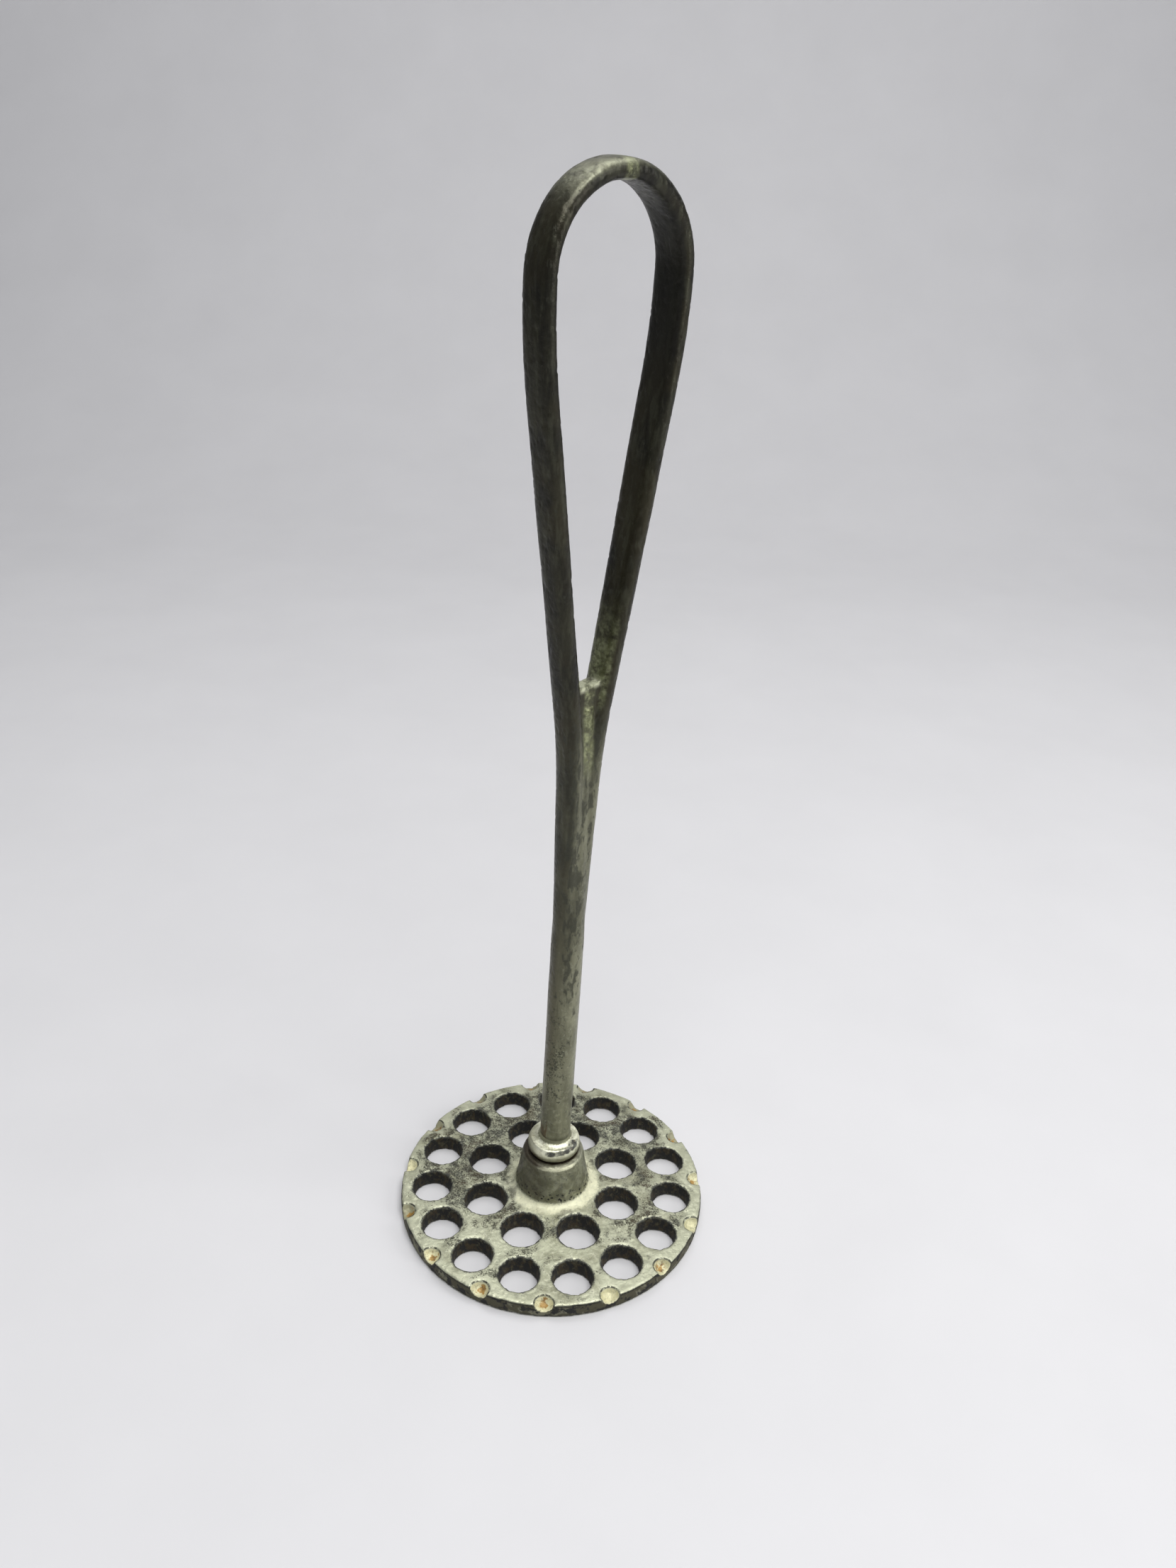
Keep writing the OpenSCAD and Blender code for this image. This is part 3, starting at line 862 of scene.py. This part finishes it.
def rust_and_soot(points, own, own_normals, normals):
    """Rust inside the left leg and at the shank's foot; painted shade just above the collar and on the
    loop's inner faces high up.
    """
    height, above_collar = own[:, 2], points[:, 2] - COLLAR_HIGH
    rust = smooth(236, 246, height) * (1 - smooth(258, 266, height)) * smooth(3, 8, -own[:, 0])
    rust *= 0.6 * smooth(0.0, 0.7, own_normals[:, 0])
    rust = np.maximum(rust, (1 - smooth(2, 14, above_collar)) * smooth(0.3, 0.9, -normals[:, 0]))
    inward = -own_normals[:, 0] * np.sign(own[:, 0])
    # Painted shade: dark just above the collar and on the inward faces of the loop's upper part.
    soot = 0.45 * (1 - smooth(0.0, 0.8, above_collar))
    soot = np.maximum(soot, 0.75 * smooth(0.3, 0.8, inward) * smooth(222, 250, height))
    return {"rust": rust, "soot": soot}


def handle():
    turn = handle_frame() @ Matrix.Rotation(LOOP_TURN, 4, "Z")
    mesh = handle_skin(turn)
    points, normals = coords(mesh), coords(mesh, "normal")
    undo = np.array(turn.inverted())
    own = points @ undo[:3, :3].T + undo[:3, 3] / MM
    own_normals = normals @ undo[:3, :3].T
    paint(mesh, **loop_paint(own, own_normals, normals), **shank_paint(own, normals),
          **rust_and_soot(points, own, own_normals, normals))

    clear = smooth(COLLAR_HIGH, COLLAR_HIGH + 1.5, points[:, 2])
    lumps = cloud(own * (1, 1, 0.4), 7.0, 11, 2)
    grain = cloud(own, 1.4, 12, 3)
    pits = smooth(0.3, 0.5, cloud(own * (1, 1, 0.6), 1.1, 13, 2))
    push = clear * (0.09 * lumps + 0.025 * grain - 0.1 * pits)
    set_coords(mesh, points + normals * push[:, None])
    mesh.materials.append(worn_handle())
    return new_piece("loop_handle", mesh, "worn_handle", "handle")


# ---------------------------------------------------------------- studio

def studio_floor():
    """A pale floor that curves up into a backdrop."""
    radius, back, width, height, front = 0.5, 1.1, 3.0, 1.6, -1.6
    line = [(front, 0.0), (back - radius, 0.0)]
    for step in range(1, 13):
        angle = math.radians(7.5 * step)
        line.append((back - radius + radius * math.sin(angle), radius * (1 - math.cos(angle))))
    line.append((back, height))
    points = [(side * width, y, z) for y, z in line for side in (-1, 1)]
    faces = [(2 * i, 2 * i + 1, 2 * i + 3, 2 * i + 2) for i in range(len(line) - 1)]
    mesh = bpy.data.meshes.new("studio_floor")
    mesh.from_pydata(points, [], faces)
    mesh.shade_smooth()
    n = Nodes("pale_floor")
    tone = n.mix(n.noise(60, 3), FLOOR_PALE, FLOOR_GREY)
    mesh.materials.append(n.finish(tone, 0.0, 0.7, n.noise(2, 2), 0.02))
    floor = bpy.data.objects.new("studio_floor", mesh)
    floor.location.z = -FLOOR_GAP
    bpy.context.scene.collection.objects.link(floor)


def area_light(name, place, aim, size, power):
    data = bpy.data.lights.new(name, "AREA")
    data.shape = "RECTANGLE"
    data.size, data.size_y = size
    data.energy = power
    lamp = bpy.data.objects.new(name, data)
    lamp.location = place
    lamp.rotation_euler = (Vector(aim) - Vector(place)).to_track_quat("-Z", "Y").to_euler()
    bpy.context.scene.collection.objects.link(lamp)


def studio_light():
    """A big soft lamp overhead, a low window on the right and a dim room."""
    area_light("key", (0.15, -0.4, 1.0), (0, 0, 0.02), (0.7, 0.5), 7.5)
    area_light("overhead", (0.1, 0.35, 1.15), (0, 0, 0), (1.0, 0.6), 4.5)
    area_light("right_window", (0.9, -0.2, 0.5), (0, 0, 0.1), (0.4, 0.7), 3)
    world = bpy.data.worlds.new("room")
    world.use_nodes = True
    world.node_tree.nodes["Background"].inputs["Color"].default_value = (0.85, 0.88, 0.95, 1)
    world.node_tree.nodes["Background"].inputs["Strength"].default_value = 0.25
    bpy.context.scene.world = world
    bpy.context.scene.view_settings.view_transform = "Standard"


def camera():
    """The photograph's view: just above the loop's height, close, and a little rolled."""
    place, aim = Vector((0.0, -0.2801, 0.2871)), Vector((0.0052, 0.0, 0.1393))
    roll = math.radians(2.69)
    data = bpy.data.cameras.new("camera")
    data.lens = 29.2
    data.sensor_width = 36
    data.clip_start, data.clip_end = 0.01, 20
    eye = bpy.data.objects.new("camera", data)
    turn = (aim - place).to_track_quat("-Z", "Y").to_matrix().to_4x4()
    eye.matrix_world = Matrix.Translation(place) @ turn @ Matrix.Rotation(roll, 4, "Z")
    bpy.context.scene.collection.objects.link(eye)
    bpy.context.scene.camera = eye


camera()
studio_floor()
studio_light()
masher_plate()
collar()
handle()
